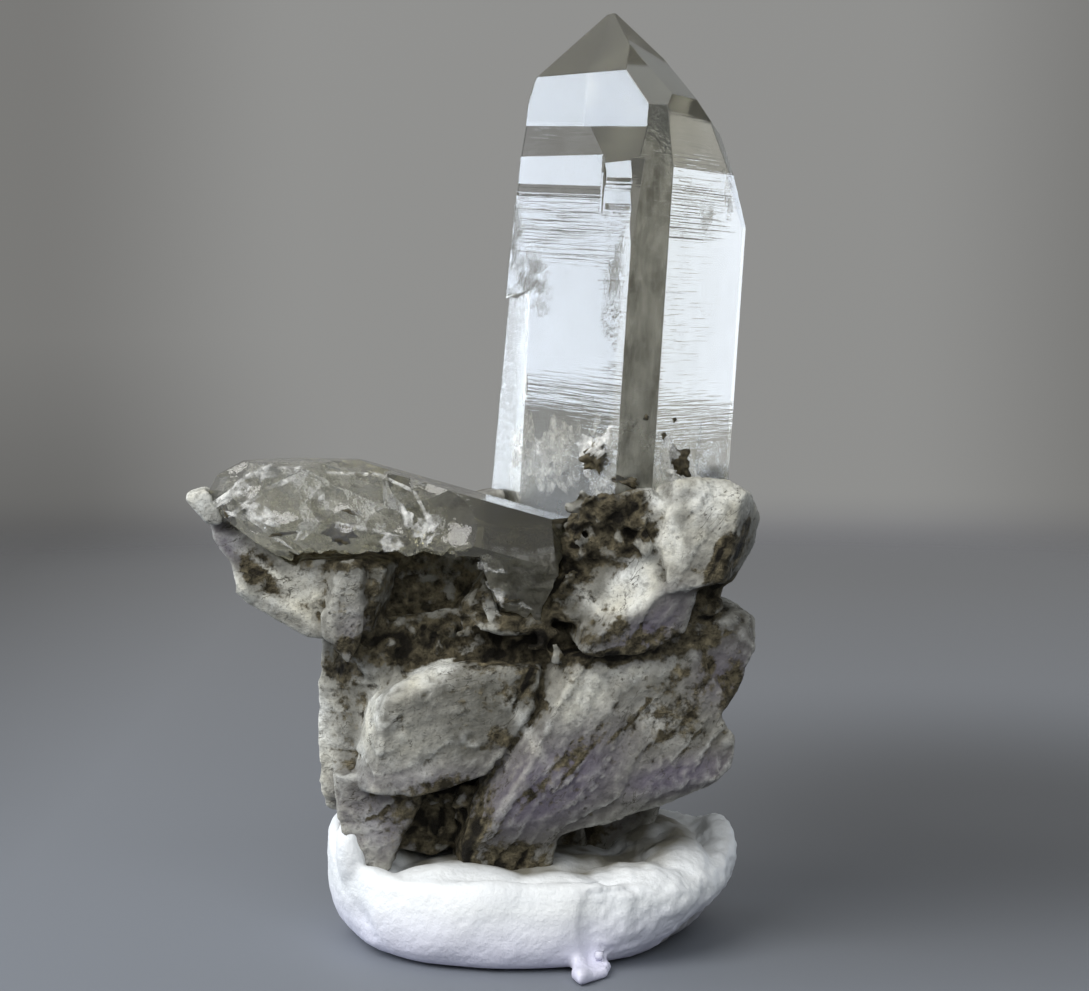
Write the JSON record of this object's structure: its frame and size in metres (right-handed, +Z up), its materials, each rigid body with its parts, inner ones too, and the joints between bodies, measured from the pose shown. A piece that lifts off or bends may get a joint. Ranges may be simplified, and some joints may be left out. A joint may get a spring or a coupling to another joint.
{
  "type": "quartz on feldspar specimen",
  "caption": "Tall clear quartz prism and a reclining quartz crystal on a rough grey feldspar matrix, pressed into a ring of white mounting putty.",
  "frame": {"origin": "centre of the putty's flat underside, on the surface that the specimen stands on", "axes": "+Z up, +X to the right and the front of the specimen facing -Y"},
  "size_m": [0.0486, 0.0345, 0.0806],
  "materials": {
    "clear_quartz": "clear colourless quartz with bright natural faces, fine cross striations and a few inclusions",
    "smoky_quartz": "clear to faintly smoky quartz with fresh glassy break scars and brown stains",
    "feldspar": "rough weathered feldspar, grey to faintly lilac, pitted, with brown dirt in the hollows",
    "putty": "soft white mounting putty, pressed by hand, satin-matt"
  },
  "bodies": {
    "root": {"main_quartz_crystal": "clear_quartz", "side_quartz_crystal": "smoky_quartz", "feldspar_matrix": "feldspar", "putty_base": "putty"}
  },
  "joints": []
}
